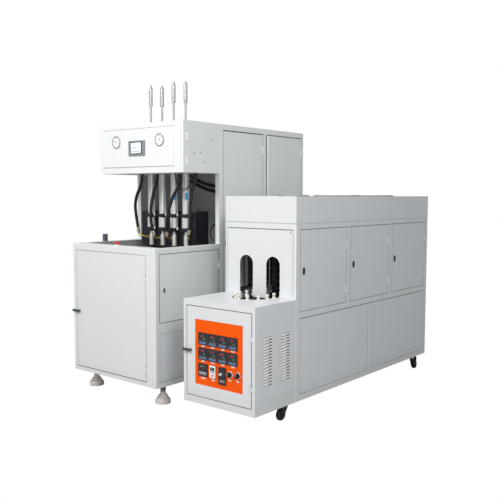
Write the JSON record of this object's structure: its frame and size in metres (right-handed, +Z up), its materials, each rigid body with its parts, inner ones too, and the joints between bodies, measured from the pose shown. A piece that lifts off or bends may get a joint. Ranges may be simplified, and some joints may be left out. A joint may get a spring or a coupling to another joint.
{
  "type": "blow moulding machine",
  "caption": "Floor-standing blow moulding machine: a cabinet with a clamp well under stretch rods, beside a wheeled preform heater with a control door.",
  "frame": {"origin": "on the floor, in the middle of the pair of units", "axes": "+Z up, -Y to the operator's side, +X from the blowing unit to the heater"},
  "size_m": [1.839, 2.463, 2.418],
  "materials": {
    "cabinet_paint": "satin powder coat",
    "well_grey": "satin",
    "black_paint": "satin",
    "foot_cream": "matte",
    "aluminium_tube": "anodised",
    "chrome_rod": "polished",
    "black_hose": "satin",
    "brass_fitting": "satin",
    "white_tube": "satin",
    "hinge_steel": "satin",
    "black_plastic": "satin",
    "wheel_black": "satin",
    "reflector_sheet": "bright",
    "lamp_quartz": "clear",
    "frame_steel": "satin",
    "holder_cream": "satin",
    "motor_grey": "satin",
    "gauge_face": "gloss",
    "screen_frame": "satin",
    "stop_red": "gloss",
    "orange_enamel": "gloss"
  },
  "bodies": {
    "machine": {"blower_base_cabinet": "cabinet_paint", "blower_rear_cabinet": "cabinet_paint", "blower_head_box": "cabinet_paint", "well_tray": "well_grey", "levelling_feet": "foot_cream", "fixed_side_panels": "cabinet_paint", "station_support": "black_paint", "stretch_cylinders": "aluminium_tube", "seal_cylinders": "aluminium_tube", "air_hoses": "black_hose", "hose_elbows": "brass_fitting", "pilot_tubes": "white_tube", "clamp_frame": "black_paint", "clamp_cylinder": "aluminium_tube", "hinge_frame_halves": "hinge_steel", "sensor_block": "black_plastic", "heater_cabinet": "cabinet_paint", "roof_hood": "cabinet_paint", "tunnel_front_panel": "cabinet_paint", "reflector_banks": "reflector_sheet", "infrared_lamps": "lamp_quartz", "conveyor_frame": "frame_steel", "preform_chain": "frame_steel", "preform_holders": "holder_cream", "drive_motor": "motor_grey"},
    "base_front_door": {"base_front_door": "cabinet_paint"},
    "base_front_latch": {"base_front_latch": "hinge_steel"},
    "base_side_door": {"base_side_door": "cabinet_paint"},
    "head_front_door": {"head_front_door": "cabinet_paint", "pressure_gauges": "gauge_face", "touch_screen": "screen_frame"},
    "rear_door_1": {"rear_door_1": "cabinet_paint"},
    "rear_door_2": {"rear_door_2": "cabinet_paint"},
    "blow_nozzles": {"blow_nozzles": "aluminium_tube"},
    "clamp_slide": {"front_platen": "black_paint", "tie_bars": "chrome_rod", "clamp_crosshead": "black_paint"},
    "emergency_stop": {"emergency_stop": "stop_red"},
    "control_door": {"control_door": "cabinet_paint", "control_plate": "orange_enamel", "panel_instruments": "black_plastic"},
    "control_latch": {"control_latch": "hinge_steel"},
    "selector_knob_1": {"selector_knob_1": "black_plastic"},
    "selector_knob_2": {"selector_knob_2": "black_plastic"},
    "speed_knob": {"speed_knob": "black_plastic"},
    "heater_door_1": {"heater_door_1": "cabinet_paint"},
    "heater_door_2": {"heater_door_2": "cabinet_paint"},
    "heater_door_3": {"heater_door_3": "cabinet_paint"},
    "stretch_rod_1": {"stretch_rod_1": "chrome_rod"},
    "stretch_rod_2": {"stretch_rod_2": "chrome_rod"},
    "stretch_rod_3": {"stretch_rod_3": "chrome_rod"},
    "stretch_rod_4": {"stretch_rod_4": "chrome_rod"},
    "caster_fork_front_left": {"caster_fork_front_left": "black_paint"},
    "caster_wheel_front_left": {"caster_wheel_front_left": "wheel_black"},
    "caster_fork_front_right": {"caster_fork_front_right": "black_paint"},
    "caster_wheel_front_right": {"caster_wheel_front_right": "wheel_black"},
    "caster_fork_rear_left": {"caster_fork_rear_left": "black_paint"},
    "caster_wheel_rear_left": {"caster_wheel_rear_left": "wheel_black"},
    "caster_fork_rear_right": {"caster_fork_rear_right": "black_paint"},
    "caster_wheel_rear_right": {"caster_wheel_rear_right": "wheel_black"}
  },
  "joints": [
    {"name": "base_front_door_swing", "type": "hinge", "parent": "machine", "child": "base_front_door", "pos_m": [-0.0815, -1.206, 0.64], "axis": [0, 0, 1], "range_deg": [0, 110]},
    {"name": "base_front_latch_turn", "type": "hinge", "parent": "base_front_door", "child": "base_front_latch", "pos_m": [-0.8425, -1.2, 0.618], "axis": [0, 1, 0], "range_deg": [0, 90]},
    {"name": "base_side_door_swing", "type": "hinge", "parent": "machine", "child": "base_side_door", "pos_m": [0.0335, -0.544, 0.86], "axis": [0, 0, 1], "range_deg": [0, 22]},
    {"name": "head_front_door_swing", "type": "hinge", "parent": "machine", "child": "head_front_door", "pos_m": [0.0335, -0.8868, 1.88], "axis": [0, 0, 1], "range_deg": [0, 100]},
    {"name": "rear_door_1_swing", "type": "hinge", "parent": "machine", "child": "rear_door_1", "pos_m": [0.0335, 0.001, 1.11], "axis": [0, 0, 1], "range_deg": [0, 28]},
    {"name": "rear_door_2_swing", "type": "hinge", "parent": "machine", "child": "rear_door_2", "pos_m": [0.0335, 0.544, 1.11], "axis": [0, 0, 1], "range_deg": [0, 28]},
    {"name": "blow_nozzle_drop", "type": "slide", "parent": "machine", "child": "blow_nozzles", "axis": [0, 0, 1], "range_m": [-0.015, 0]},
    {"name": "clamp_close", "type": "slide", "parent": "machine", "child": "clamp_slide", "axis": [0, 1, 0], "range_m": [0, 0.15]},
    {"name": "emergency_stop_press", "type": "slide", "parent": "machine", "child": "emergency_stop", "axis": [0, 0, 1], "range_m": [-0.005, 0], "stiffness_N_per_m": 2000},
    {"name": "control_door_swing", "type": "hinge", "parent": "machine", "child": "control_door", "pos_m": [0.8815, -1.186, 0.473], "axis": [0, 0, 1], "range_deg": [0, 110]},
    {"name": "control_latch_turn", "type": "hinge", "parent": "control_door", "child": "control_latch", "pos_m": [0.3505, -1.18, 0.476], "axis": [0, 1, 0], "range_deg": [0, 90]},
    {"name": "selector_knob_1_turn", "type": "hinge", "parent": "control_door", "child": "selector_knob_1", "pos_m": [0.7025, -1.18, 0.36], "axis": [0, 1, 0], "range_deg": [-45, 45]},
    {"name": "selector_knob_2_turn", "type": "hinge", "parent": "control_door", "child": "selector_knob_2", "pos_m": [0.7695, -1.18, 0.363], "axis": [0, 1, 0], "range_deg": [-45, 45]},
    {"name": "speed_knob_turn", "type": "hinge", "parent": "control_door", "child": "speed_knob", "pos_m": [0.6285, -1.18, 0.351], "axis": [0, 1, 0], "range_deg": [0, 270]},
    {"name": "heater_door_1_swing", "type": "hinge", "parent": "machine", "child": "heater_door_1", "pos_m": [0.9185, -0.11, 1.014], "axis": [0, 0, 1], "range_deg": [0, 110]},
    {"name": "heater_door_2_swing", "type": "hinge", "parent": "machine", "child": "heater_door_2", "pos_m": [0.9185, 0.538, 1.014], "axis": [0, 0, 1], "range_deg": [0, 110]},
    {"name": "heater_door_3_swing", "type": "hinge", "parent": "machine", "child": "heater_door_3", "pos_m": [0.9185, 1.186, 1.014], "axis": [0, 0, 1], "range_deg": [0, 110]},
    {"name": "stretch_rod_1_stroke", "type": "slide", "parent": "machine", "child": "stretch_rod_1", "axis": [0, 0, 1], "range_m": [-0.174, 0]},
    {"name": "stretch_rod_2_stroke", "type": "slide", "parent": "machine", "child": "stretch_rod_2", "axis": [0, 0, 1], "range_m": [-0.159, 0]},
    {"name": "stretch_rod_3_stroke", "type": "slide", "parent": "machine", "child": "stretch_rod_3", "axis": [0, 0, 1], "range_m": [-0.18, 0]},
    {"name": "stretch_rod_4_stroke", "type": "slide", "parent": "machine", "child": "stretch_rod_4", "axis": [0, 0, 1], "range_m": [-0.169, 0]},
    {"name": "caster_swivel_front_left", "type": "hinge", "parent": "machine", "child": "caster_fork_front_left", "pos_m": [0.3425, -0.785, 0.1], "axis": [0, 0, 1], "continuous": true},
    {"name": "caster_roll_front_left", "type": "hinge", "parent": "caster_fork_front_left", "child": "caster_wheel_front_left", "pos_m": [0.3425, -0.825, 0.042], "axis": [1, 0, 0], "continuous": true},
    {"name": "caster_swivel_front_right", "type": "hinge", "parent": "machine", "child": "caster_fork_front_right", "pos_m": [0.8525, -0.785, 0.1], "axis": [0, 0, 1], "continuous": true},
    {"name": "caster_roll_front_right", "type": "hinge", "parent": "caster_fork_front_right", "child": "caster_wheel_front_right", "pos_m": [0.8525, -0.825, 0.042], "axis": [1, 0, 0], "continuous": true},
    {"name": "caster_swivel_rear_left", "type": "hinge", "parent": "machine", "child": "caster_fork_rear_left", "pos_m": [0.3425, 1.118, 0.1], "axis": [0, 0, 1], "continuous": true},
    {"name": "caster_roll_rear_left", "type": "hinge", "parent": "caster_fork_rear_left", "child": "caster_wheel_rear_left", "pos_m": [0.37314, 1.09229, 0.042], "axis": [0.6428, 0.766, 0], "continuous": true},
    {"name": "caster_swivel_rear_right", "type": "hinge", "parent": "machine", "child": "caster_fork_rear_right", "pos_m": [0.8525, 1.118, 0.1], "axis": [0, 0, 1], "continuous": true},
    {"name": "caster_roll_rear_right", "type": "hinge", "parent": "caster_fork_rear_right", "child": "caster_wheel_rear_right", "pos_m": [0.88314, 1.09229, 0.042], "axis": [0.6428, 0.766, 0], "continuous": true}
  ]
}
